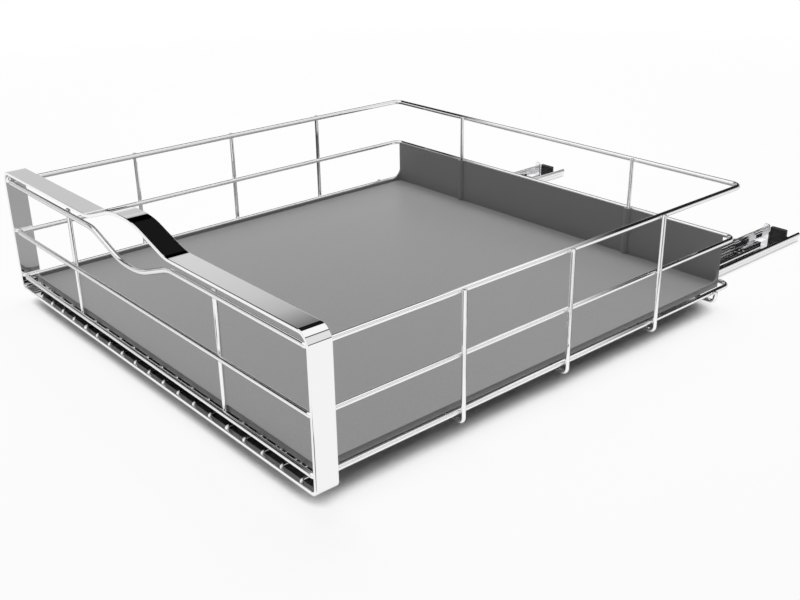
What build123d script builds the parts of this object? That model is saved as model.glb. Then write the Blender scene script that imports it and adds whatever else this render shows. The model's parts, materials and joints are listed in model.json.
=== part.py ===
from build123d import *
import os
from math import atan2, degrees, sqrt, tan

# Pull-out organizer for a cabinet: a wire basket with a flat front frame, a tray
# liner in it, and two flat ball-bearing slides that stand on the cabinet floor.
# X is the width, Y the depth with the handle at low Y, Z up from the cabinet floor.
# The basket is drawn out 215 mm from its closed place.

os.makedirs("parts", exist_ok=True)

# Front frame, one flat strip bent to a closed loop
frame_half_w = 254.0
frame_bottom = 13.0
frame_height = 126.0
strip_w = 20.0
strip_t = 3.0
strip_front = 4.0
top_corner_r = 11.5
bottom_corner_r = 6.0
strip_edge = 0.6
arch_rise = 16.5
arch_foot_x = 67.5
arch_crest_x = 17.8
arch_foot_r = 50.0
arch_crest_r = 90.0

# Wires
basket_depth = 506.0
rim_d = 5.0
ring_d = 4.5
upright_d = 4.0
base_d = 3.0
rim_z = 127.0
mid_z = 74.5
low_z = 26.0
ring_corner_r = 9.0
ring_steps = 3
dip_drop = 17.5
dip_foot_x = 66.0
dip_low_x = 17.0
dip_foot_r = 50.0
dip_low_r = 85.0
cross_z = 17.5
upright_y = 258.5
upright_pitch = 121.0
rear_cross_inset = 30.0
long_x = 125.0
base_pitch = 25.0
base_margin = 4.0
wire_bend = 2.3
hook_bend = 2.0
wire_sides = 8
base_sides = 6

# Tray liner
tray_side_gap = 5.5
tray_front_gap = 0.5
tray_rear_gap = 1.25
tray_t = 2.0
tray_floor_t = 2.5
lip_h = 6.0
tray_wall_h = 52.5
tray_corner_r = 6.0
wall_corner_r = 5.0
wall_sweep_r = 12.0
rib_play = 0.5

# Slides, positions along the depth measured from the front wire
slide_inset = 76.0
slide_rear = 734.0
cabinet_rail_l = 500.0
middle_rail_l = 474.0
middle_rail_inset = 79.0
drawer_rail_front = 20.0
drawer_rail_inset = 12.0
outer_cage_l = 180.0
outer_cage_inset = 200.0
inner_cage_l = 150.0
inner_cage_inset = 243.0

# Rolled sections of the slides
rail_t = 1.2
middle_t = 1.0
cage_t = 0.6
outer_race_x = 17.4
outer_race_z = 6.6
inner_race_z = 10.58
cabinet_race_r = 2.9
cabinet_wall_step = 1.5
cabinet_neck_r = 1.0
middle_race_r = 2.8
middle_top_race_r = 2.4
middle_web_z = 3.0
middle_heel_r = 0.8
drawer_race_r = 2.5
drawer_neck_r = 1.5
outer_cage_z = 1.8
outer_arm_h = 7.4
inner_cage_z = 4.2
inner_arm_h = 8.2
inner_arm_step = 0.6
ball_pitch = 40.0
outer_ball_r = 2.0
inner_ball_r = 1.6
ball_play = 0.15

# Screws, saddles and rear stop
floor_hole_r = 2.5
floor_hole_near = 28.0
floor_hole_far = 44.0
window_w = 12.0
window_l = 14.0
window_inset = 4.0
slot_w = 8.0
slot_l = 36.0
slot_pitch = 110.0
saddle_w = 10.0
saddle_t = 1.2
saddle_foot = 9.0
saddle_offset = 5.0
screw_r = 1.5
screw_head_r = 2.8
screw_head_h = 1.8
screw_head_slope = 20
bumper_w = 20.0
bumper_l = 6.0
bumper_h = 12.8
bumper_offset = 2.0
bumper_inset = 15.0
bumper_edge = 1.5
stop_tab_inset = 21.0
stop_tab_x = 10.5
stop_tab_w = 8.0
stop_tab_top = 18.0

# Sizes that follow from the ones above
front_y = (strip_front - slide_rear) / 2
frame_top = frame_bottom + frame_height
leg_inner_x = frame_half_w - strip_t
low_r = ring_d / 2
rim_r = rim_d / 2
upright_r = upright_d / 2
base_r = base_d / 2
rings_front_inner = front_y + low_r
rings_rear_inner = front_y + basket_depth - low_r
upright_x = leg_inner_x + upright_r
upright_ys = [upright_y + upright_pitch * i for i in (-1, 0, 1)]
rear_cross_y = basket_depth - rear_cross_inset
cross_top = cross_z + upright_r
long_z = cross_top + upright_r
base_z = cross_top + base_r
tray_bottom = long_z + upright_r
tray_half_w = leg_inner_x - ring_d - tray_side_gap
tray_front = low_r + upright_d + tray_front_gap
tray_rear = basket_depth - low_r - tray_rear_gap
drawer_top = cross_z - upright_r
cabinet_rail_span = (slide_rear - cabinet_rail_l, slide_rear)
middle_rear = slide_rear - middle_rail_inset
middle_rail_span = (middle_rear - middle_rail_l, middle_rear)
drawer_rail_span = (drawer_rail_front, basket_depth - drawer_rail_inset)
outer_cage_rear = slide_rear - outer_cage_inset
outer_cage_span = (outer_cage_rear - outer_cage_l, outer_cage_rear)
inner_cage_rear = middle_rear - inner_cage_inset
inner_cage_span = (inner_cage_rear - inner_cage_l, inner_cage_rear)
slide_x = frame_half_w - slide_inset


def save(builder, name):
    """Names a finished piece and writes it."""
    builder.part.label = name
    export_step(builder.part, f"parts/{name}.step")


def lean(run, rise):
    """Gives how far a corner moves sideways for each unit that a bent strip is offset."""
    return tan(atan2(rise, run) / 2)


def frame_outline(inset):
    """Draws the front frame's closed outline, moved inwards by a distance."""
    side = frame_half_w - inset
    top = frame_top - inset
    foot = frame_bottom + inset
    shift = inset * lean(arch_foot_x - arch_crest_x, arch_rise)
    right = [
        (arch_crest_x - shift, top + arch_rise),
        (arch_foot_x - shift, top),
        (side, top),
        (side, foot),
    ]
    left = [(-x, z) for x, z in reversed(right)]
    bends = [arch_crest_r - inset, arch_foot_r + inset, top_corner_r - inset, bottom_corner_r - inset]
    FilletPolyline(*right, *left, radius=bends + bends[::-1], close=True)


# The front frame is a bent strip; its top run rises to the handle arch.
with BuildPart() as front_frame:
    with BuildSketch(Plane.XZ.offset(-(front_y - strip_front))):
        with BuildLine():
            frame_outline(0)
        make_face()
        with BuildLine():
            frame_outline(strip_t)
        make_face(mode=Mode.SUBTRACT)
    extrude(amount=-strip_w)
    chamfer(front_frame.faces().filter_by(Axis.Y).edges(), length=strip_edge)
save(front_frame, "front_frame")


def draw_wire(path, radius, sides):
    """Sweeps a many-sided rod along a path, with flats up, down and sideways."""
    with BuildSketch(Plane(origin=path.line @ 0, z_dir=path.line % 0)) as section:
        turn = 180 / sides if sides % 4 == 0 else 0
        RegularPolygon(radius, sides, major_radius=False, rotation=turn)
    return section.sketch


# The rim wire dips behind the handle to leave room for the fingers.
rim_x = leg_inner_x - rim_r
rim_front = rings_front_inner - rim_r
rim_rear = rings_rear_inner + rim_r
rim_half = [
    (dip_low_x, rim_front, rim_z - dip_drop),
    (dip_foot_x, rim_front, rim_z),
    (rim_x, rim_front, rim_z),
    (rim_x, rim_rear, rim_z),
]
rim_bends = [dip_low_r, dip_foot_r, ring_corner_r, ring_corner_r]
with BuildPart() as top_rim_wire:
    with BuildLine() as rim_path:
        rim_left = [(-x, y, z) for x, y, z in reversed(rim_half)]
        FilletPolyline(*rim_half, *rim_left, radius=rim_bends + rim_bends[::-1], close=True)
    sweep(draw_wire(rim_path, rim_r, wire_sides), path=rim_path.line)
save(top_rim_wire, "top_rim_wire")


def on_arc(centre, radius, degrees):
    """Gives the point of a circle at an angle."""
    turned = Vector(radius, 0).rotate(Axis.Z, degrees)
    return (centre[0] + turned.X, centre[1] + turned.Y)


# Two plain rings, one halfway up and one round the tray's edge, bent in short steps.
ring_in_x = leg_inner_x - low_r - ring_corner_r
ring_in_front = front_y + ring_corner_r
ring_in_back = front_y + basket_depth - ring_corner_r
ring_turns = (
    ((ring_in_x, ring_in_front), -90),
    ((ring_in_x, ring_in_back), 0),
    ((-ring_in_x, ring_in_back), 90),
    ((-ring_in_x, ring_in_front), 180),
)
for name, ring_z in (("middle_ring_wire", mid_z), ("lower_ring_wire", low_z)):
    run = [(0, front_y)]
    for centre, start in ring_turns:
        run += [on_arc(centre, ring_corner_r, start + 90 * i / ring_steps) for i in range(ring_steps + 1)]
    with BuildPart() as ring:
        with BuildLine(Plane.XY.offset(ring_z)) as ring_path:
            Polyline(*run, close=True)
        section = draw_wire(ring_path, low_r, wire_sides)
        sweep(section, path=ring_path.line, transition=Transition.RIGHT)
    save(ring, name)


def u_wire(plane, left, right, low, high):
    """Bends a U from straight wire in an upright plane, each bend one short mitred run."""
    with BuildPart() as bent:
        with BuildLine(plane) as path:
            Polyline(
                (left, high),
                (left, low + wire_bend),
                (left + wire_bend, low),
                (right - wire_bend, low),
                (right, low + wire_bend),
                (right, high),
            )
        section = draw_wire(path, upright_r, wire_sides)
        sweep(section, path=path.line, transition=Transition.RIGHT)
    return bent


# U wires across the basket carry its sides and lie on the slides.
upright_top = rim_z + upright_r
for number, y in enumerate(upright_ys, start=1):
    across = Plane.XZ.offset(-(front_y + y))
    save(u_wire(across, -upright_x, upright_x, cross_z, upright_top), f"cross_wire_{number}")

# A short U wire closes the base near its rear end.
across = Plane.XZ.offset(-(front_y + rear_cross_y))
save(u_wire(across, -upright_x, upright_x, cross_z, low_z + upright_r), "rear_cross_wire")

# U wires along the basket stand inside the rings at the front and at the back.
long_front = rings_front_inner + upright_r
long_rear = rings_rear_inner - upright_r
for name, x in (("long_wire_left", -long_x), ("long_wire_right", long_x)):
    save(u_wire(Plane.YZ.offset(x), long_front, long_rear, long_z, upright_top), name)

# Thin base wires end in a hook behind the lower ring's front run.
hook_y = rings_front_inner + base_r
base_end = front_y + rear_cross_y + upright_d
base_count = int((tray_half_w - base_margin) // base_pitch)
base_xs = [base_pitch * i for i in range(-base_count, base_count + 1)]
base_xs = [x for x in base_xs if abs(abs(x) - long_x) > upright_r + base_r]
for number, x in enumerate(base_xs, start=1):
    with BuildPart() as base_wire:
        with BuildLine(Plane.YZ.offset(x)) as base_path:
            Polyline(
                (hook_y, low_z),
                (hook_y, base_z + hook_bend),
                (hook_y + hook_bend, base_z),
                (base_end, base_z),
            )
        section = draw_wire(base_path, base_r, base_sides)
        sweep(section, path=base_path.line, transition=Transition.RIGHT)
    save(base_wire, f"base_wire_{number:02d}")

# The tray liner has a low lip round three sides that sweeps up into its back wall.
tray_length = tray_rear - tray_front
tray_mid_y = front_y + (tray_rear + tray_front) / 2
wall_face = front_y + tray_rear - tray_t
lip_top = tray_bottom + lip_h
wall_top = tray_bottom + tray_wall_h
rib_y = long_rear
groove_r = upright_r + rib_play
rib_r = groove_r + tray_t
with BuildPart() as tray_liner:
    with BuildSketch(Plane.XY.offset(tray_bottom)):
        with Locations((0, tray_mid_y)):
            RectangleRounded(2 * tray_half_w, tray_length, tray_corner_r)
    extrude(amount=tray_wall_h)
    with BuildSketch(Plane.YZ):
        with BuildLine():
            sweep_y = wall_face - wall_sweep_r
            sweep_z = lip_top + wall_sweep_r
            cut_top = wall_top + wall_sweep_r
            cut_front = front_y - wall_sweep_r
            Line((cut_front, lip_top), (sweep_y, lip_top))
            CenterArc((sweep_y, sweep_z), wall_sweep_r, 270, 90)
            Line((wall_face, sweep_z), (wall_face, cut_top))
            Line((wall_face, cut_top), (cut_front, cut_top))
            Line((cut_front, cut_top), (cut_front, lip_top))
        make_face()
    extrude(amount=frame_half_w, both=True, mode=Mode.SUBTRACT)
    with BuildSketch(Plane.XZ):
        with Locations((0, wall_top - tray_wall_h)):
            RectangleRounded(2 * tray_half_w, 2 * tray_wall_h, wall_corner_r)
    extrude(amount=basket_depth, both=True, mode=Mode.INTERSECT)
    with BuildSketch(Plane.XY.offset(tray_bottom + tray_floor_t)):
        with Locations((0, tray_mid_y)):
            inner_w = 2 * (tray_half_w - tray_t)
            RectangleRounded(inner_w, tray_length - 2 * tray_t, tray_corner_r - tray_t)
    extrude(amount=tray_wall_h, mode=Mode.SUBTRACT)
    with BuildSketch(Plane.XY.offset(tray_bottom)):
        with Locations((-long_x, rib_y), (long_x, rib_y)):
            Circle(rib_r)
        with Locations((0, front_y + tray_rear + rib_r)):
            Rectangle(2 * tray_half_w, 2 * rib_r, mode=Mode.SUBTRACT)
    extrude(amount=tray_wall_h)
    with BuildSketch(Plane.XY.offset(tray_bottom)):
        with Locations((-long_x, rib_y), (long_x, rib_y)):
            Circle(groove_r)
            with Locations((0, rib_r)):
                Rectangle(2 * groove_r, 2 * rib_r)
    extrude(amount=tray_wall_h, mode=Mode.SUBTRACT)
    with Locations((-long_x, rib_y, tray_bottom), (long_x, rib_y, tray_bottom)):
        lead = (Align.CENTER, Align.CENTER, Align.MIN)
        Cone(groove_r + tray_t / 2, groove_r, tray_t, align=lead, mode=Mode.SUBTRACT)
save(tray_liner, "tray_liner")


# Slide members are rolled sheet: each half outline ends in the races for the balls.
def side_step(reach, rise):
    """Gives the sideways step between two centres a known distance apart."""
    return sqrt(reach**2 - rise**2)


def heading(start, end):
    """Gives the direction from one point to another in degrees, from 0 to a full turn."""
    return degrees(atan2(end[1] - start[1], end[0] - start[0])) % 360


outer_race = (outer_race_x, outer_race_z)
inner_step = side_step(middle_race_r + middle_top_race_r, inner_race_z - outer_race_z)
inner_race = (outer_race_x - inner_step, inner_race_z)
inner_arm_x = inner_race[0] - inner_arm_step


def cabinet_half():
    """Draws the cabinet member: web, low side wall and the outer race."""
    web_z = rail_t / 2
    wall_x = outer_race_x + cabinet_wall_step
    neck_x = wall_x + cabinet_neck_r
    neck_fall = side_step(cabinet_race_r + cabinet_neck_r, neck_x - outer_race_x)
    neck = (neck_x, outer_race_z - neck_fall)
    turn = heading(outer_race, neck) - 360
    Line((0, web_z), (wall_x, web_z))
    Line((wall_x, web_z), (wall_x, neck[1]))
    CenterArc(neck, cabinet_neck_r, 180, heading(neck, outer_race) - 180)
    CenterArc(outer_race, cabinet_race_r, turn, 70 - turn)


def middle_half():
    """Draws the middle member: a web and two races that face away from each other."""
    heel_z = middle_web_z + middle_heel_r
    heel_step = side_step(middle_race_r + middle_heel_r, outer_race_z - heel_z)
    heel = (outer_race_x - heel_step, heel_z)
    crook = heading(outer_race, heel)
    top = heading(outer_race, inner_race)
    Line((0, middle_web_z), (heel[0], middle_web_z))
    CenterArc(heel, middle_heel_r, 270, heading(heel, outer_race) + 90)
    CenterArc(outer_race, middle_race_r, crook, top - crook)
    CenterArc(inner_race, middle_top_race_r, top - 180, 250 - top)


def drawer_half():
    """Draws the drawer member: a raised web, a side wall and the inner race."""
    web_z = drawer_top - rail_t / 2
    neck = on_arc(inner_race, drawer_race_r + drawer_neck_r, 150)
    wall_x = neck[0] + drawer_neck_r
    CenterArc(inner_race, drawer_race_r, 230, -80)
    CenterArc(neck, drawer_neck_r, -30, 30)
    Line((wall_x, neck[1]), (wall_x, web_z))
    Line((wall_x, web_z), (0, web_z))


def cage_half(arm_x, web_z, arm_h):
    """Draws a ball cage: a thin web with upright arms that hold the balls."""
    Line((0, web_z), (arm_x, web_z))
    Line((arm_x, web_z), (arm_x, web_z + arm_h))


def roll(centre_x, span, half, sizes, thickness):
    """Rolls a member's section along the depth inside the active part."""
    section = Plane((centre_x, front_y + span[0], 0), x_dir=(1, 0, 0), z_dir=(0, -1, 0))
    with BuildSketch(section) as outline:
        with BuildLine():
            half(*sizes)
            offset(amount=thickness / 2, side=Side.BOTH, kind=Kind.INTERSECTION, closed=True)
        make_face()
        mirror(about=Plane.YZ)
    extrude(outline.sketch, amount=span[0] - span[1])


def pierce(centre_x, ys, width, length, low, high):
    """Cuts a row of windows through the web between two heights."""
    with BuildSketch(Plane.XY.offset(low)) as row:
        with Locations(*[(centre_x, front_y + y) for y in ys]):
            Rectangle(width, length)
    extrude(row.sketch, amount=high - low, mode=Mode.SUBTRACT)


def spread(span, pitch, margin):
    """Gives evenly pitched places that fill a span between its margins."""
    count = int((span[1] - span[0] - 2 * margin) // pitch) + 1
    middle = (span[0] + span[1]) / 2
    return [middle + pitch * (i - (count - 1) / 2) for i in range(count)]


upward = (Align.CENTER, Align.MIN)
for side, turn in (("left", -1), ("right", 1)):
    rail_x = turn * slide_x
    strap_x = rail_x + turn * saddle_offset
    with BuildPart() as cabinet_rail:
        roll(rail_x, cabinet_rail_span, cabinet_half, (), rail_t)
        hole_ys = (cabinet_rail_span[0] + floor_hole_near, slide_rear - floor_hole_far)
        with BuildSketch(Plane.XY) as holes:
            with Locations(*[(rail_x, front_y + y) for y in hole_ys]):
                Circle(floor_hole_r)
        extrude(holes.sketch, amount=rail_t, mode=Mode.SUBTRACT)
        tab_x = rail_x - stop_tab_x
        tab_y = front_y + slide_rear - stop_tab_inset
        tab_h = stop_tab_top - rail_t
        with BuildSketch(Plane.XY):
            with Locations((tab_x, tab_y - (rail_t + tab_h) / 2)):
                Rectangle(stop_tab_w + rail_t, tab_h)
        extrude(amount=rail_t, mode=Mode.SUBTRACT)
        with BuildSketch(Plane.XZ.offset(-(tab_y - rail_t / 2))) as tab:
            with Locations((tab_x, 0)):
                Rectangle(stop_tab_w, stop_tab_top, align=upward)
            chamfer(tab.vertices().group_by(Axis.Y)[-1], length=stop_tab_w / 4)
        extrude(tab.sketch, amount=-rail_t)
    save(cabinet_rail, f"cabinet_rail_{side}")

    with BuildPart() as middle_rail:
        roll(rail_x, middle_rail_span, middle_half, (), middle_t)
        web_top = middle_web_z + middle_t
        end_gap = window_inset + window_l / 2
        windows = (middle_rail_span[0] + end_gap, middle_rail_span[1] - end_gap)
        pierce(rail_x, windows, window_w, window_l, 0, web_top)
        places = spread(middle_rail_span, slot_pitch, end_gap + window_l + slot_l / 2)
        pierce(rail_x, places, slot_w, slot_l, 0, web_top)
    save(middle_rail, f"middle_rail_{side}")

    feet = [y + d for y in upright_ys for d in (-saddle_foot, saddle_foot)]
    with BuildPart() as drawer_rail:
        roll(rail_x, drawer_rail_span, drawer_half, (), rail_t)
        with BuildSketch(Plane.XY.offset(drawer_top)) as holes:
            with Locations(*[(strap_x, front_y + y) for y in feet]):
                RegularPolygon(screw_r, base_sides)
        extrude(holes.sketch, amount=-rail_t, mode=Mode.SUBTRACT)
        between = [(a + b) / 2 for a, b in zip(upright_ys, upright_ys[1:])]
        pierce(rail_x, between, slot_w, slot_l, drawer_top - rail_t, drawer_top)
    save(drawer_rail, f"drawer_rail_{side}")

    cages = (
        ("outer", (outer_race_x, outer_cage_z, outer_arm_h), outer_cage_span, outer_race, outer_ball_r),
        ("inner", (inner_arm_x, inner_cage_z, inner_arm_h), inner_cage_span, inner_race, inner_ball_r),
    )
    for level, sizes, span, (ball_x, ball_z), ball_r in cages:
        ball_ys = spread(span, ball_pitch, ball_pitch / 4)
        with BuildPart() as cage:
            roll(rail_x, span, cage_half, sizes, cage_t)
            with BuildSketch(Plane.YZ.offset(rail_x - outer_race_x - ball_r)) as pockets:
                with Locations(*[(front_y + y, ball_z) for y in ball_ys]):
                    Rectangle(2 * (ball_r + ball_play), 2 * (ball_r + ball_play))
            extrude(pockets.sketch, amount=2 * (outer_race_x + ball_r), mode=Mode.SUBTRACT)
            open_ys = spread(span, slot_pitch / 2, slot_l / 2)
            pierce(rail_x, open_ys, 2 * slot_w, slot_l, 0, ball_z)
        save(cage, f"{level}_cage_{side}")
        with BuildPart() as balls:
            ball_xs = (rail_x - ball_x, rail_x + ball_x)
            with Locations(*[(x, front_y + y, ball_z) for y in ball_ys for x in ball_xs]):
                Box(2 * ball_r, 2 * ball_r, 2 * ball_r)
            chamfer(balls.edges(), length=ball_r * (2 - sqrt(2)))
        save(balls, f"{level}_balls_{side}")

    with BuildPart() as rear_bumper:
        with BuildSketch(Plane.XY.offset(rail_t)):
            with Locations((rail_x + bumper_offset, front_y + slide_rear - bumper_inset)):
                Rectangle(bumper_w, bumper_l)
        extrude(amount=bumper_h)
        chamfer(rear_bumper.edges().filter_by(Axis.Z), length=bumper_edge)
        chamfer(rear_bumper.faces().sort_by(Axis.Z)[-1].edges(), length=bumper_edge / 3)
    save(rear_bumper, f"rear_bumper_{side}")

    # A strap over each U wire holds it on the drawer member with two screws.
    strap_top = drawer_top + saddle_t
    crown_top = cross_top + saddle_t
    crown_y = upright_r + saddle_t
    foot_end = 2 * saddle_foot - crown_y
    hat = [(upright_r, drawer_top), (foot_end, drawer_top), (foot_end, strap_top), (crown_y, strap_top)]
    hat += [(crown_y, crown_top), (-crown_y, crown_top)]
    hat += [(-crown_y, strap_top), (-foot_end, strap_top), (-foot_end, drawer_top), (-upright_r, drawer_top)]
    hat += [(-upright_r, cross_top), (upright_r, cross_top)]
    with BuildPart() as wire_saddles:
        for y in upright_ys:
            place = (strap_x, front_y + y, 0)
            with BuildSketch(Plane(place, x_dir=(0, 1, 0), z_dir=(1, 0, 0))):
                with BuildLine():
                    Polyline(*hat, close=True)
                make_face()
            extrude(amount=saddle_w / 2, both=True)
        with BuildSketch(Plane.XY.offset(drawer_top)) as holes:
            with Locations(*[(strap_x, front_y + y) for y in feet]):
                RegularPolygon(screw_r, base_sides)
        extrude(holes.sketch, amount=saddle_t, mode=Mode.SUBTRACT)
    save(wire_saddles, f"wire_saddles_{side}")

    with BuildPart() as saddle_screws:
        spots = [(strap_x, front_y + y) for y in feet]
        with BuildSketch(Plane.XY.offset(drawer_top - rail_t)):
            with Locations(*spots):
                RegularPolygon(screw_r, base_sides)
        extrude(amount=rail_t + saddle_t)
        with BuildSketch(Plane.XY.offset(strap_top)):
            with Locations(*spots):
                RegularPolygon(screw_head_r, wire_sides)
        extrude(amount=screw_head_h, taper=screw_head_slope)
    save(saddle_screws, f"saddle_screws_{side}")
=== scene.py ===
# %% [markdown]
# # A pull-out organizer for a kitchen cabinet
#
# The real object is a chromed wire basket with a flat, polished front frame. A grey
# tray lies in it, and two flat ball-bearing slides carry it over the cabinet floor.
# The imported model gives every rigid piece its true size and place, but its wires have
# flat facets, which a mirror finish would show as steps. So this lesson bends the
# wires and the frame again as smooth metal. It also finishes each surface and sets up
# the studio. The object's sizes are written in millimetres and used in metres.

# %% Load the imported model
import json
import math

import bmesh
import bpy
from mathutils import Matrix, Vector

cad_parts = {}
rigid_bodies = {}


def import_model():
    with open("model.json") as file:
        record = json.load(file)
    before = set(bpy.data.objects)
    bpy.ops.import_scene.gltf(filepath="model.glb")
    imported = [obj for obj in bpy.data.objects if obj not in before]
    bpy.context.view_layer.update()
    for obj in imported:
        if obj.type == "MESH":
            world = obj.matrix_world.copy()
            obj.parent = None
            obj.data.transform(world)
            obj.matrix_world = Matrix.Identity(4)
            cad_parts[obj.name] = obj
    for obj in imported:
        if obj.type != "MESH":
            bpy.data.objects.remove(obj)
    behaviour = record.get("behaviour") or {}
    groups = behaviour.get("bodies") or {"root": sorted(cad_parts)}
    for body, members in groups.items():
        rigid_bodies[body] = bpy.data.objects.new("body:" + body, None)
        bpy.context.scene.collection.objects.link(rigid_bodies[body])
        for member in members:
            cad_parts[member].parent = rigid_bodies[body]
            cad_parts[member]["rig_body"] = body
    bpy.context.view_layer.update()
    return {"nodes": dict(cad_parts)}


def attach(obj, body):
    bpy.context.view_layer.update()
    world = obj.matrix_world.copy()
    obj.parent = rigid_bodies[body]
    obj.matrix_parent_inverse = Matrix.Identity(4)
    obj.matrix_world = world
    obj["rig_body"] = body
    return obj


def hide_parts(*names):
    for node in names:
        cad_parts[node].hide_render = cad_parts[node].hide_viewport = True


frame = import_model()
nodes = frame["nodes"]
print("packed nodes:", len(nodes))

# %% [markdown]
# ## The camera
#
# The photographer stood at the right front corner, a little above the basket, with a
# normal lens. Such a camera could be moved by eye until the picture fits. Here its
# place and turn were solved from the basket's corners instead, so a corner of the
# model falls on the same corner in the picture.

# %% Camera
camera_data = bpy.data.cameras.new("camera")
camera_data.sensor_width = 36.0
camera_data.lens = 46.0434
camera_data.clip_start = 0.01
camera_data.clip_end = 50.0
camera = bpy.data.objects.new("camera", camera_data)
bpy.context.scene.collection.objects.link(camera)
camera.location = (0.74147, -0.70853, 0.42203)
camera.rotation_euler = [math.radians(turn) for turn in (66.2666, 0.7981, 49.0444)]
bpy.context.scene.camera = camera
print("camera height in mm:", round(1000 * camera.location.z))

# %% [markdown]
# ## The tent
#
# Chrome has no colour of its own, it only shows what stands round it. A chrome
# product is lit in a white tent with a few dark cards, and the cards draw the black
# bands that make a wire look round. The cards could hang in the scene as meshes, but
# then they would shade the floor as well. The world is the tent here, so only rays
# that come off the metal meet the cards.
#
# A world is a network of nodes, as a material is. The helpers below add a node and
# feed its sockets in one call, so that each step reads as one line.

# %% Tent
scene = bpy.context.scene
scene.view_settings.view_transform = "Standard"
world = bpy.data.worlds.new("studio_tent")
scene.world = world
world.use_nodes = True
tent = world.node_tree
tent.nodes.clear()


def feed(tree, socket, value):
    """Links another node's socket to a socket, or sets a plain value on it."""
    if isinstance(value, bpy.types.NodeSocket):
        tree.links.new(value, socket)
    else:
        socket.default_value = value


def node(tree, kind, **values):
    """Adds a shader node; a value feeds the socket of that name, or else sets a property."""
    made = tree.nodes.new(kind)
    for name, value in values.items():
        socket = made.inputs.get(name.replace("_", " "))
        if socket is None:
            setattr(made, name, value)
        else:
            feed(tree, socket, value)
    return made


def maths(tree, operation, *values):
    """Adds a Math node for some values and gives the result's socket."""
    made = node(tree, "ShaderNodeMath", operation=operation)
    for socket, value in zip(made.inputs, values):
        feed(tree, socket, value)
    return made.outputs[0]


def remap(tree, value, **limits):
    """Maps a value from one range to another (each is 0 to 1 if not given)."""
    return node(tree, "ShaderNodeMapRange", Value=value, **limits).outputs[0]


direction = node(tent, "ShaderNodeTexCoord").outputs["Generated"]
right, back, up = node(tent, "ShaderNodeSeparateXYZ", Vector=direction).outputs
print("nodes in the tent:", len(tent.nodes))

# %% [markdown]
# ## The long cards
#
# Most cards are long strips that hang along the basket's depth. A ray meets one of
# them by its turn about the Y axis alone, so one colour ramp over that turn holds them
# all. The list gives the grey level for each turn, from straight up (0 degrees) to the
# right (90) and to the left (-90). A wide grey card lies low on the left and shows in
# the flat top of the frame. A thin black one above it and two more on the right draw
# the dark lines along the wires.

# %% Long cards
CARDS = (
    (-180, 0.95), (-82, 0.95), (-77, 0.66), (-74, 0.60), (-70.5, 0.60), (-68, 0.70),
    (-66.5, 0.70), (-65, 0.66), (-63.2, 0.60), (-62.2, 0.54), (-61.2, 0.40), (-60.2, 0.12),
    (-59, 0.01), (-57.5, 0.01), (-56, 1.0), (29, 1.0), (31, 0.03), (36, 0.03), (38, 0.8),
    (84, 0.8), (87, 0.05), (93, 0.05), (95, 0.95), (180, 0.95),
)


def ramp(tree, value, stops):
    """Adds a colour ramp over a value; its stops are (place, grey level) in rising order."""
    made = node(tree, "ShaderNodeValToRGB", Fac=value)
    bar = made.color_ramp.elements
    bar[0].position, bar[1].position = stops[0][0], stops[-1][0]
    for place, _ in stops[1:-1]:
        bar.new(place)
    for stop, (_, grey) in zip(bar, stops):
        stop.color = (grey, grey, grey, 1)
    return made.outputs["Color"]


turn = maths(tent, "ARCTAN2", right, up)
whole_turn = remap(tent, turn, From_Min=-math.pi, From_Max=math.pi)
level = ramp(tent, whole_turn, [((degrees + 180) / 360, grey) for degrees, grey in CARDS])
print("stops in the long cards:", len(CARDS))

# %% [markdown]
# ## Two short black cards
#
# Two cards on the left are short, so that only some parts of the basket mirror them.
# The flat one is met by the round corners and by the slope of the handle, the low one
# by the wires that run across the front. A ramp can't end a card in two directions, so
# each is the product of two soft patches, one over each direction.

# %% Short cards
BLACK = 0.01


def inside(tree, value, low, high, edge):
    """Gives 1 where a value lies between two limits and 0 outside, with a soft edge."""
    away = maths(tree, "ABSOLUTE", maths(tree, "SUBTRACT", value, (low + high) / 2))
    half = (high - low) / 2
    limits = {"From_Min": half - edge, "From_Max": half, "To_Min": 1.0, "To_Max": 0.0}
    return remap(tree, away, interpolation_type="SMOOTHSTEP", **limits)


def darken(tree, grey, patch, share):
    """Takes a grey level down to a share of itself where a patch is 1."""
    return maths(tree, "MULTIPLY", grey, remap(tree, patch, To_Min=1.0, To_Max=share))


flat_card = maths(
    tent,
    "MULTIPLY",
    inside(tent, turn, low=math.radians(-60), high=math.radians(-21), edge=math.radians(2)),
    inside(tent, back, low=0.3, high=0.66, edge=0.05),
)
low_card = maths(
    tent,
    "MULTIPLY",
    inside(tent, right, low=-1.1, high=-0.67, edge=0.03),
    inside(tent, up, low=0.43, high=1.1, edge=0.02),
)
short_cards = (flat_card, low_card)
for card in short_cards:
    level = darken(tent, level, card, BLACK)
print("short black cards:", len(short_cards))

# %% [markdown]
# ## The seam and the opening
#
# A tent meets the floor in a seam, which chrome shows as a thin dark line. Behind the
# object the tent is open, and the dark room there blackens the insides of the slides
# and of the back wires. Both belong to the world too, since they only depend on the
# height and the depth of a direction.

# %% Seam and opening
SEAM = ((0.0, 1.0), (0.475, 1.0), (0.492, 0.1), (0.515, 0.1), (0.535, 1.0), (1.0, 1.0))
OPENING = 0.02

height = remap(tent, up, From_Min=-1.0, From_Max=1.0)
level = maths(tent, "MULTIPLY", level, ramp(tent, height, SEAM))
behind = remap(tent, back, interpolation_type="SMOOTHSTEP", From_Min=0.7, From_Max=0.76)
above = remap(tent, up, interpolation_type="SMOOTHSTEP", From_Min=0.2, From_Max=0.26)
level = darken(tent, level, maths(tent, "MULTIPLY", behind, above), OPENING)
print("grey of the opening:", OPENING)

# %% [markdown]
# ## What each ray meets
#
# One world for all rays would either leave the chrome without lines or put them in the
# background. Light Path tells rays apart. A ray from the camera meets plain white,
# which gives the white background without more light on the object. A ray off the
# metal meets the cards. All others meet a weak even light, so that the lamp shapes the
# tray.

# %% Rays
WHITE = (1, 1, 1, 1)
ROOM_LIGHT = 0.1


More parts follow.
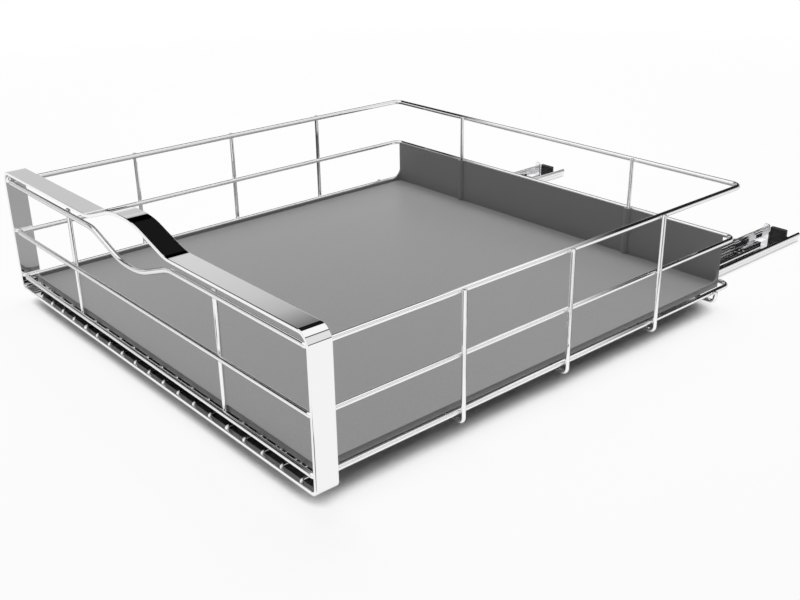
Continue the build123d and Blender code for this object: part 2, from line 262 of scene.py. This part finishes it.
def mixed(tree, share, first, second):
    """Mixes two shaders; a share of 1 leaves the second alone."""
    made = node(tree, "ShaderNodeMixShader", Fac=share)
    tree.links.new(first.outputs[0], made.inputs[1])
    tree.links.new(second.outputs[0], made.inputs[2])
    return made


rays = node(tent, "ShaderNodeLightPath")
white = node(tent, "ShaderNodeBackground", Color=WHITE, Strength=1.0)
even = node(tent, "ShaderNodeBackground", Color=WHITE, Strength=ROOM_LIGHT)
mirrored = node(tent, "ShaderNodeBackground", Color=level, Strength=1.0)
unseen = mixed(tent, rays.outputs["Is Glossy Ray"], even, mirrored)
sky = mixed(tent, rays.outputs["Is Camera Ray"], unseen, white)
node(tent, "ShaderNodeOutputWorld", Surface=sky.outputs[0])
print("nodes in the tent:", len(tent.nodes))

# %% [markdown]
# ## Two dark cloths on the floor
#
# The floor is white paper. A photographer can lay dark cloths on it to get dark lines
# in upright chrome, and clean them out of the picture later. One lies on the left and
# a small one before the right corner. They could be meshes, but then they would show
# in every view. As patches of the paper's material, only rays off the metal meet them.

# %% Cloths
FAR = 3.0


def new_material(name):
    """Makes an empty node material and gives it back with its node tree."""
    made = bpy.data.materials.new(name)
    made.use_nodes = True
    made.node_tree.nodes.clear()
    return made, made.node_tree


floor_finish, floor_tree = new_material("studio_floor")
floor_place = node(floor_tree, "ShaderNodeTexCoord").outputs["Object"]
floor_x, floor_y, _ = node(floor_tree, "ShaderNodeSeparateXYZ", Vector=floor_place).outputs
left_cloth = maths(
    floor_tree,
    "MULTIPLY",
    inside(floor_tree, floor_x, low=-FAR, high=-0.262, edge=0.01),
    inside(floor_tree, floor_y, low=-0.36, high=FAR, edge=0.01),
)
slant = maths(floor_tree, "MULTIPLY_ADD", floor_x, -0.713, floor_y)
corner_cloth = maths(
    floor_tree,
    "MULTIPLY",
    inside(floor_tree, floor_x, low=0.268, high=0.36, edge=0.006),
    inside(floor_tree, slant, low=-2 * FAR, high=-0.571, edge=0.008),
)
corner_end = inside(floor_tree, floor_y, low=-0.5, high=FAR, edge=0.006)
corner_cloth = maths(floor_tree, "MULTIPLY", corner_cloth, corner_end)
cloths = maths(floor_tree, "MAXIMUM", left_cloth, corner_cloth)
print("nodes in the floor:", len(floor_tree.nodes))

# %% [markdown]
# ## The paper
#
# Round the object the paper glows for the camera and for the metal, so it comes out as
# white as the tent and keeps only a breath of shadow. Close under the basket, where
# little light gets in, it is bare paper and goes dark. These places could be drawn as
# a square, but Ambient Occlusion finds them, so they follow the basket when it slides.

# %% Paper
PAPER, CLOTH = 0.9, 0.08

path = node(floor_tree, "ShaderNodeLightPath")
for_metal = path.outputs["Is Glossy Ray"]
covered = maths(floor_tree, "MULTIPLY", for_metal, cloths)
bare = node(
    floor_tree, "ShaderNodeBsdfDiffuse", Color=remap(floor_tree, covered, To_Min=PAPER, To_Max=CLOTH)
)
glow = node(floor_tree, "ShaderNodeEmission", Color=WHITE, Strength=1.0)

cover = node(floor_tree, "ShaderNodeAmbientOcclusion", samples=16, Distance=0.08)
in_shelter = {"From_Min": 0.3, "From_Max": 0.55, "To_Min": 1.0, "To_Max": 0.0}
under = remap(floor_tree, cover.outputs["AO"], **in_shelter)
away = node(floor_tree, "ShaderNodeVectorMath", operation="LENGTH", Vector=floor_place)
far_out = {"From_Min": 0.7, "From_Max": 1.8, "To_Min": 0.9, "To_Max": 1.0}
share_of_glow = remap(floor_tree, away.outputs["Value"], **far_out)
beside = remap(floor_tree, under, To_Min=share_of_glow, To_Max=0.0)

uncovered = remap(floor_tree, cloths, To_Min=1.0, To_Max=0.0)
seen = maths(
    floor_tree,
    "MAXIMUM",
    path.outputs["Is Camera Ray"],
    maths(floor_tree, "MULTIPLY", for_metal, uncovered),
)
surface = mixed(floor_tree, maths(floor_tree, "MULTIPLY", seen, beside), bare, glow)
node(floor_tree, "ShaderNodeOutputMaterial", Surface=surface.outputs[0])
print("nodes in the floor:", len(floor_tree.nodes))

# %% [markdown]
# ## The floor
#
# The floor could be a sheet that curves up at the back, as in a studio. The world is
# white for the camera, so one flat square does, wide enough that its edge fades into
# the tent.

# %% Floor
HALF_FLOOR = 6.0

shape = bmesh.new()
bmesh.ops.create_grid(shape, x_segments=1, y_segments=1, size=HALF_FLOOR)
floor_mesh = bpy.data.meshes.new("floor")
shape.to_mesh(floor_mesh)
shape.free()
floor = bpy.data.objects.new("floor", floor_mesh)
scene.collection.objects.link(floor)
floor.data.materials.append(floor_finish)
print("floor width in m:", 2 * HALF_FLOOR)

# %% [markdown]
# ## The lamp
#
# One large soft light hangs high up, a little to the left and behind. It lights the
# tray's floor and leaves the tray's back wall dark, as in the photograph. A second
# light from the front would flatten both. The metal doesn't mirror the lamp, since the
# tent gives the metal all that it shows.

# %% Lamp
lamp_data = bpy.data.lights.new("softbox_top", "AREA")
lamp_data.shape = "SQUARE"
lamp_data.size = 1.4
lamp_data.energy = 38.0
lamp = bpy.data.objects.new("softbox_top", lamp_data)
scene.collection.objects.link(lamp)
lamp.location = (-0.5, 0.35, 1.9)
lamp.rotation_euler = (-lamp.location).to_track_quat("-Z", "Y").to_euler()
lamp.visible_glossy = False
print("lamp height in mm:", round(1000 * lamp.location.z))

# %% [markdown]
# ## Chrome and other metal
#
# Chrome is a near-white metal that is almost a mirror. Glossy shading alone would do,
# but a plated wire is never perfect, so a fine noise moves the roughness and the
# surface a little. Wire is seen mostly at a grazing angle, and a darker edge tint
# keeps its outline from fading into the white background.

# %% Metal
MM = 0.001


def metal(name, colour, rough, scale, bump, edge):
    """Makes a metal whose roughness varies between two values; its edge can be darker."""
    made, tree = new_material(name)
    place = node(tree, "ShaderNodeTexCoord").outputs["Object"]
    cloud = node(tree, "ShaderNodeTexNoise", Scale=scale, Detail=4.0, Vector=place).outputs["Fac"]
    wave = node(tree, "ShaderNodeBump", Strength=bump, Distance=0.2 * MM, Height=cloud)
    skin = node(
        tree,
        "ShaderNodeBsdfPrincipled",
        Metallic=1.0,
        Base_Color=(*colour, 1),
        Specular_Tint=(edge, edge, edge, 1),
        Roughness=remap(tree, cloud, To_Min=rough[0], To_Max=rough[1]),
        Normal=wave.outputs[0],
    )
    node(tree, "ShaderNodeOutputMaterial", Surface=skin.outputs[0])
    return made


# Name, colour, least and most roughness, scale of the noise, bump, share at the edge
METALS = (
    ("frame_chrome", (0.93, 0.93, 0.93), (0.0, 0.02), 40, 0.01, 1.0),
    ("wire_chrome", (0.95, 0.95, 0.95), (0.0, 0.02), 60, 0.01, 0.6),
    ("rail_zinc", (0.86, 0.86, 0.87), (0.06, 0.12), 300, 0.02, 1.0),
    ("cage_steel", (0.66, 0.67, 0.69), (0.2, 0.3), 300, 0.05, 1.0),
    ("ball_steel", (0.8, 0.8, 0.81), (0.05, 0.1), 300, 0.0, 1.0),
    ("screw_zinc", (0.75, 0.76, 0.77), (0.15, 0.25), 300, 0.05, 1.0),
    ("saddle_zinc", (0.8, 0.81, 0.82), (0.15, 0.25), 300, 0.05, 1.0),
)
finishes = {name: metal(name, *values) for name, *values in METALS}
print("metals:", len(finishes))

# %% [markdown]
# ## Tray grey and bumper black
#
# The grain could be bump alone, but in even light that hardly shows, so it moves the
# tone too. The tray's underside is only seen mirrored in the wires below it, and there
# it is almost black, from shade. That shade is painted: the grey is made darker below
# the underside's height, which saves a second piece.

# %% Matt surfaces
GRAIN, GRAIN_SCALE = 0.06, 900
TRAY_UNDERSIDE = 23.9 * MM
# Share of the tray's grey kept under the underside's height: a painted shade.
UNDERSIDE_PAINTED_SHADE = 0.12


def matt(name, colour, rough, bump, below=None):
    """Makes a matt surface with a fine grain; under a height it can take a painted shade, a darker
    share of its colour.
    """
    made, tree = new_material(name)
    place = node(tree, "ShaderNodeTexCoord").outputs["Object"]
    noise = node(tree, "ShaderNodeTexNoise", Scale=GRAIN_SCALE, Detail=3.0, Vector=place)
    grain = noise.outputs["Fac"]
    shade = ramp(tree, grain, ((0.3, colour * (1 - GRAIN)), (0.7, colour * (1 + GRAIN))))
    # Painted shade: under the given height the colour is darkened to a share of itself.
    if below:
        limit, share = below
        _, _, up = node(tree, "ShaderNodeSeparateXYZ", Vector=place).outputs
        over = maths(tree, "GREATER_THAN", up, limit)
        shade = maths(tree, "MULTIPLY", shade, remap(tree, over, To_Min=share, To_Max=1.0))
    wave = node(tree, "ShaderNodeBump", Strength=bump, Distance=0.3 * MM, Height=grain)
    skin = node(
        tree,
        "ShaderNodeBsdfPrincipled",
        Base_Color=shade,
        Roughness=rough,
        Normal=wave.outputs[0],
    )
    node(tree, "ShaderNodeOutputMaterial", Surface=skin.outputs[0])
    return made


# The tray's grey takes a painted shade under its underside's height.
finishes["tray_grey"] = matt(
    "tray_grey", colour=0.33, rough=0.4, bump=0.08, below=(TRAY_UNDERSIDE, UNDERSIDE_PAINTED_SHADE)
)
finishes["bumper_black"] = matt("bumper_black", colour=0.012, rough=0.45, bump=0.1)
print("finishes:", len(finishes))

# %% [markdown]
# ## A finish for every piece
#
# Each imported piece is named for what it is, so the start of its name tells its finish.
# A piece that stays gets its material here. The pieces that are bent again further
# down ask the same list, so a new wire has the finish of the one it stands for.

# %% Finish of each piece
SLOTS = (
    ("front_frame", "frame_chrome"),
    ("top_rim", "wire_chrome"),
    ("middle_ring", "wire_chrome"),
    ("lower_ring", "wire_chrome"),
    ("cross_wire", "wire_chrome"),
    ("rear_cross", "wire_chrome"),
    ("long_wire", "wire_chrome"),
    ("base_wire", "wire_chrome"),
    ("tray", "tray_grey"),
    ("wire_saddles", "saddle_zinc"),
    ("saddle_screws", "screw_zinc"),
    ("rear_bumper", "bumper_black"),
    ("outer_cage", "cage_steel"),
    ("inner_cage", "cage_steel"),
    ("outer_balls", "ball_steel"),
    ("inner_balls", "ball_steel"),
    ("cabinet_rail", "rail_zinc"),
    ("middle_rail", "rail_zinc"),
    ("drawer_rail", "rail_zinc"),
)


def slot_of(name):
    """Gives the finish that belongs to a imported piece."""
    return next(slot for start, slot in SLOTS if name.startswith(start))


for name, packed in nodes.items():
    packed.data.materials.clear()
    packed.data.materials.append(finishes[slot_of(name)])
print("kinds of piece:", len(SLOTS))

# %% [markdown]
# ## The end of the stock
#
# Wire and flat bar come as long stock with one section. A bevelled curve could follow
# the same route, but a flat bar may twist along it. So the code works as a machine
# does, and starts with the stock's cut end. On the flat bar, extra points beside the
# rounded edges keep the smooth shading of the wide faces truly flat.

# %% End of the stock
ROUND_POINTS = 20
EDGE_BAND = 0.3 * MM


def end_face(shape, place, section):
    """Draws the stock's end: a circle, or a flat bar's width, thickness and edge radius."""
    if len(section) == 1:
        radius = section[0] * MM
        bmesh.ops.create_circle(shape, segments=ROUND_POINTS, radius=radius, matrix=place)
        return shape.edges[:]
    width, thickness, edge = (size * MM for size in section)
    points = bmesh.ops.create_grid(shape, x_segments=1, y_segments=1, size=0.5)["verts"]
    bmesh.ops.delete(shape, geom=shape.faces[:], context="FACES_ONLY")
    bmesh.ops.scale(shape, vec=(width, thickness, 1), verts=points)
    bmesh.ops.bevel(
        shape, geom=points, offset=edge, segments=4, profile=0.5, affect="VERTICES", material=-1
    )
    for axis, half in ((0, width / 2), (1, thickness / 2)):
        for sign in (-1, 1):
            cut = Vector((0, 0, 0))
            cut[axis] = sign * (half - edge - EDGE_BAND)
            outline = shape.verts[:] + shape.edges[:]
            bmesh.ops.bisect_plane(shape, geom=outline, plane_co=cut, plane_no=cut)
    bmesh.ops.transform(shape, matrix=place, verts=shape.verts[:])
    return shape.edges[:]


print("points round a wire:", ROUND_POINTS)

# %% [markdown]
# ## Push and bend
#
# A wire machine pushes the stock forward, stops, and bends it round a pin. The points
# round each bend could be worked out, but the operators do it: extrude and translate
# push, spin bends, and each gives the new front end of the stock for the next step.

# %% Push and bend
def loop_of(geometry):
    """Picks the stock's new front end out of what an operator gives back."""
    points = {part for part in geometry if isinstance(part, bmesh.types.BMVert)}
    edges = [part for part in geometry if isinstance(part, bmesh.types.BMEdge)]
    return [edge for edge in edges if all(point in points for point in edge.verts)]


def points_of(edges):
    """Gives each point of some edges once."""
    return list({point for edge in edges for point in edge.verts})


def push(shape, front, step):
    """Pushes the stock's front end one step further and gives the new front end."""
    made = bmesh.ops.extrude_edge_only(shape, edges=front)
    front = loop_of(made["geom"])
    bmesh.ops.translate(shape, vec=step, verts=points_of(front))
    return front


def bend(shape, front, at, heading, onward, radius, steps):
    """Spins the stock's front end round a pin, from one heading to the next."""
    axis = heading.cross(onward).normalized()
    made = bmesh.ops.spin(
        shape,
        geom=points_of(front) + front,
        cent=at + axis.cross(heading) * radius,
        axis=axis,
        angle=heading.angle(onward),
        steps=steps,
    )
    return loop_of(made["geom_last"])


print("steps of the machine:", push.__name__, "and", bend.__name__)

# %% [markdown]
# ## Ends and skin
#
# A closed ring ends where it began. Its ends could be joined face by face, but merging
# the doubled points welds them in one go. An open wire is cut, and tumbling rounds the
# cut, so its ends are filled and get a small bevel. Spin can turn a skin inside out:
# recalculated normals agree with each other, and the volume's sign tells whether they
# point outwards.

# %% Ends and skin
WELD = 0.01 * MM
CUT_EDGE = 0.5 * MM


def finish_stock(shape, closed):
    """Welds a ring's ends or closes an open wire's, and turns the smooth skin outwards."""
    if closed:
        bmesh.ops.remove_doubles(shape, verts=shape.verts[:], dist=WELD)
    else:
        cut = [edge for edge in shape.edges if len(edge.link_faces) == 1]
        bmesh.ops.holes_fill(shape, edges=cut, sides=0)
        bmesh.ops.bevel(
            shape, geom=cut, offset=CUT_EDGE, segments=3, profile=0.5, affect="EDGES", material=-1
        )
    bmesh.ops.recalc_face_normals(shape, faces=shape.faces[:])
    if shape.calc_volume(signed=True) < 0:
        bmesh.ops.reverse_faces(shape, faces=shape.faces[:])
    for face in shape.faces:
        face.smooth = True


print("bevel of a cut end in mm:", CUT_EDGE / MM)

# %% [markdown]
# ## From corners to a bent piece
#
# A drawing of a bent piece gives its sharp corners and the radius at each. The stock is
# pushed to where the bend begins, bent, and pushed on. A long push would do, but a
# short one before and after each bend keeps the shading of the straight runs even.
# Every piece of the basket starts at a right angle to the depth, so the width of the
# flat bar can always lie along Y.

# %% Bent pieces
LEAD = 0.4 * MM


def bend_stock(section, corners, radii, closed=False, steps=10):
    """Bends stock along corners with a radius at each bend, and gives the finished mesh."""
    corners = [Vector(corner) * MM for corner in corners]
    at = (corners[-1] + corners[0]) / 2 if closed else corners[0]
    stops = corners + [at] if closed else corners[1:]
    heading = (stops[0] - at).normalized()
    across = Vector((0, 1, 0))
    turned = Matrix((across, heading.cross(across), heading)).transposed().to_4x4()
    shape = bmesh.new()
    front = end_face(shape, Matrix.Translation(at) @ turned, section)
    for number, stop in enumerate(stops):
        heading = (stop - at).normalized()
        bent = number < len(radii)
        setback = 0.0
        if bent:
            onward = (stops[number + 1] - stop).normalized()
            setback = radii[number] * MM * math.tan(heading.angle(onward) / 2)
        target = stop - heading * setback
        for length in (LEAD, (target - at).length - 2 * LEAD, LEAD):
            front = push(shape, front, heading * length)
        at = target
        if bent:
            front = bend(shape, front, at, heading, onward, radii[number] * MM, steps)
            at = stop + onward * setback
    finish_stock(shape, closed)
    return shape


print("lead beside a bend in mm:", LEAD / MM)

# %% [markdown]
# ## From mesh to piece
#
# A mesh is seen once an object shows it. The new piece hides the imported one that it
# stands for, rides on the same body and takes the same finish. It could be moved into
# place as an object, but its place is in its mesh, because the noise of its finish
# reads Object coordinates and would slide.

# %% Piece
def put(shape, name, stands_for):
    """Makes an object of a mesh; it rides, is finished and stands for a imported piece."""
    mesh = bpy.data.meshes.new(name)
    shape.to_mesh(mesh)
    shape.free()
    made = bpy.data.objects.new(name, mesh)
    scene.collection.objects.link(made)
    slot = slot_of(stands_for)
    made.data.materials.append(finishes[slot])
    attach(made, nodes[stands_for]["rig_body"])
    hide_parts(stands_for)
    return made


# %% [markdown]
# ## The basket's sizes
#
# These are the sizes of the real basket in millimetres. They could be read off the
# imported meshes, but a bent piece is drawn by its corners and radii, which a mesh
# doesn't tell. Depths are counted from the axis of the front wires, which is 365 mm in
# front of the middle of the whole part, and heights from the underside of the slides.

# %% Sizes
FRONT = -365.0
DEPTH = 506.0
LEG_IN = 251.0
RIM_Z, MID_Z, LOW_Z = 127.0, 74.5, 26.0
CROSS_Z, LONG_Z, BASE_Z = 17.5, 21.5, 21.0
RIM_R, RING_R, WIRE_R, BASE_R = 2.5, 2.25, 2.0, 1.5
ring_x = LEG_IN - RING_R
upright_x = LEG_IN + WIRE_R
wire_top = RIM_Z + WIRE_R
print("basket width between the legs in mm:", 2 * LEG_IN)

# %% [markdown]
# ## The front frame
#
# One flat strip, 20 by 3 mm with softened edges, is bent to a closed loop. Its top run
# rises to the handle. The loop could be an outline with a hole, but bending keeps it
# 3 mm thick through every corner. The corners are given for the middle of that
# thickness, so each bend radius is half a thickness off the drawn one, and the handle's
# slope shifts a little along the bar. The left half mirrors the right.

# %% Front frame
STRIP_W, STRIP_T, STRIP_EDGE, STRIP_FRONT = 20.0, 3.0, 0.6, 4.0
BAR_TOP, FRAME_FOOT, FRAME_X = 139.0, 13.0, 254.0
CREST_X, SLOPE_X, RISE = 17.8, 67.5, 16.5
CREST_BEND, SLOPE_BEND, TOP_BEND, FOOT_BEND = 90.0, 50.0, 11.5, 6.0

half = STRIP_T / 2
shift = half * math.tan(math.atan2(RISE, SLOPE_X - CREST_X) / 2)
bar = [
    (CREST_X - shift, BAR_TOP - half + RISE),
    (SLOPE_X - shift, BAR_TOP - half),
    (FRAME_X - half, BAR_TOP - half),
    (FRAME_X - half, FRAME_FOOT + half),
]
bar_bends = [CREST_BEND - half, SLOPE_BEND + half, TOP_BEND - half, FOOT_BEND - half]
strip_y = FRONT - STRIP_FRONT + STRIP_W / 2
route = [(x, strip_y, z) for x, z in bar] + [(-x, strip_y, z) for x, z in reversed(bar)]
section = (STRIP_W, STRIP_T, STRIP_EDGE)
strip = bend_stock(section, route, bar_bends + bar_bends[::-1], closed=True, steps=14)
front_frame = put(strip, "bent_front_frame", "front_frame")
print("front frame faces:", len(front_frame.data.polygons))

# %% [markdown]
# ## The rim
#
# The rim is the thickest wire, and on the inside it is flush with the rings below it.
# Its front run dips behind the handle to leave room for the fingers. The dip could be
# pressed into a straight ring with a lattice, but as four more corners of the route it
# keeps the wire's thickness. The corners behind the frame are tight, the rear ones not.

# %% Rim
DIP, DIP_X, DIP_FOOT_X = 17.5, 17.0, 66.0
DIP_BEND, DIP_FOOT_BEND = 85.0, 50.0
FRONT_BEND, REAR_BEND = 4.5, 9.0

rim_x = LEG_IN - RIM_R
rim_front = FRONT + RING_R - RIM_R
rim_rear = FRONT + DEPTH - RING_R + RIM_R
dip = [(DIP_X, rim_front, RIM_Z - DIP), (DIP_FOOT_X, rim_front, RIM_Z)]
corners = dip + [(rim_x, rim_front, RIM_Z), (rim_x, rim_rear, RIM_Z)]
corners += [(-x, y, z) for x, y, z in reversed(corners)]
bends = [DIP_BEND, DIP_FOOT_BEND, FRONT_BEND, REAR_BEND]
put(bend_stock((RIM_R,), corners, bends + bends[::-1], closed=True), "bent_top_rim", "top_rim_wire")
print("rim corners:", len(corners))

# %% [markdown]
# ## The two rings
#
# The rings below the rim are plain. One runs halfway up and one round the tray, and
# both come from one loop, since they differ in nothing but their height.

# %% Rings
for z, name in ((MID_Z, "middle_ring"), (LOW_Z, "lower_ring")):
    corners = [
        (ring_x, FRONT, z),
        (ring_x, FRONT + DEPTH, z),
        (-ring_x, FRONT + DEPTH, z),
        (-ring_x, FRONT, z),
    ]
    bends = [FRONT_BEND, REAR_BEND, REAR_BEND, FRONT_BEND]
    ring = bend_stock((RING_R,), corners, bends, closed=True)
    put(ring, f"bent_{name}", f"{name}_wire")
print("ring depth in mm:", DEPTH)

# %% [markdown]
# ## The cross wires
#
# Three U wires run across the basket and stand up outside the rings. A low one closes
# the base at the back. On the real basket they are cut and bent first and then welded
# to the rings, so here too each is one open piece with two cut ends.

# %% Cross wires
UPRIGHT_YS = (137.5, 258.5, 379.5)
CROSS_BEND = 4.5
REAR_INSET = 30.0


def cross_wire(y, top):
    """Bends a U wire across the basket at a depth, with its ends at a height."""
    left = [(-upright_x, FRONT + y, top), (-upright_x, FRONT + y, CROSS_Z)]
    corners = left + [(-x, y, z) for x, y, z in reversed(left)]
    return bend_stock((WIRE_R,), corners, [CROSS_BEND, CROSS_BEND])


for number, y in enumerate(UPRIGHT_YS, start=1):
    put(cross_wire(y, wire_top), f"bent_cross_{number}", f"cross_wire_{number}")
put(cross_wire(DEPTH - REAR_INSET, LOW_Z + WIRE_R), "bent_rear_cross", "rear_cross_wire")
print("cross wires:", len(UPRIGHT_YS) + 1)

# %% [markdown]
# ## The long wires
#
# Two U wires run from front to back on top of the cross wires and carry the tray. They
# stand up inside the rings, at the back in the two ribs of the tray's wall. Their
# bends are tighter than those of the cross wires, because the tray lies close.

# %% Long wires
LONG_X = 125.0
LONG_BEND = 2.3

near = FRONT + RING_R + WIRE_R
far = FRONT + DEPTH - RING_R - WIRE_R
for x, name in ((-LONG_X, "left"), (LONG_X, "right")):
    corners = [(x, near, wire_top), (x, near, LONG_Z), (x, far, LONG_Z), (x, far, wire_top)]
    wire = bend_stock((WIRE_R,), corners, [LONG_BEND, LONG_BEND])
    put(wire, f"bent_long_{name}", f"long_wire_{name}")
print("length of the long wires in mm:", round(far - near))

# %% [markdown]
# ## The base wires
#
# Thin wires, 25 mm apart, close the basket's floor below the tray and leave out the
# places of the long wires. Each has a short hook at the front that is welded behind
# the lower ring. A copied mesh would do for all of them, but each packed wire has its
# own name, so each gets its own piece.

# %% Base wires
PITCH, OUTER_STEP = 25.0, 9
HOOK_BEND, BASE_INSET = 2.0, 26.0

all_xs = [PITCH * step for step in range(-OUTER_STEP, OUTER_STEP + 1)]
base_xs = [x for x in all_xs if abs(x) != LONG_X]
hook_y = FRONT + RING_R + BASE_R
base_end = FRONT + DEPTH - BASE_INSET
for number, x in enumerate(base_xs, start=1):
    corners = [(x, hook_y, LOW_Z), (x, hook_y, BASE_Z), (x, base_end, BASE_Z)]
    wire = bend_stock((BASE_R,), corners, [HOOK_BEND], steps=6)
    put(wire, f"bent_base_wire_{number:02d}", f"base_wire_{number:02d}")
print("base wires:", len(base_xs))

# %% [markdown]
# ## The bearing balls
#
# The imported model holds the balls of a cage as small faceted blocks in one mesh. The
# points that hang together make one block, and a round ball of the same reach takes
# its place, so the balls stay in the cage's pockets without any size written here.

# %% Balls
ball_nodes = [name for name in nodes if "_balls_" in name]
for name in ball_nodes:
    blocks = bmesh.new()
    blocks.from_mesh(nodes[name].data)
    bmesh.ops.remove_doubles(blocks, verts=blocks.verts[:], dist=WELD)
    waiting = set(blocks.verts)
    shape = bmesh.new()
    for first in blocks.verts:
        if first not in waiting:
            continue
        waiting.remove(first)
        block = [first]
        for point in block:
            neighbours = [edge.other_vert(point) for edge in point.link_edges]
            block += [other for other in neighbours if other in waiting]
            waiting.difference_update(neighbours)
        middle = sum((point.co for point in block), Vector()) / len(block)
        reach = max(point.co.z for point in block) - middle.z
        place = Matrix.Translation(middle)
        bmesh.ops.create_uvsphere(shape, u_segments=16, v_segments=10, radius=reach, matrix=place)
    blocks.free()
    for face in shape.faces:
        face.smooth = True
    put(shape, f"round_{name}", name)
print("ball nodes:", len(ball_nodes))
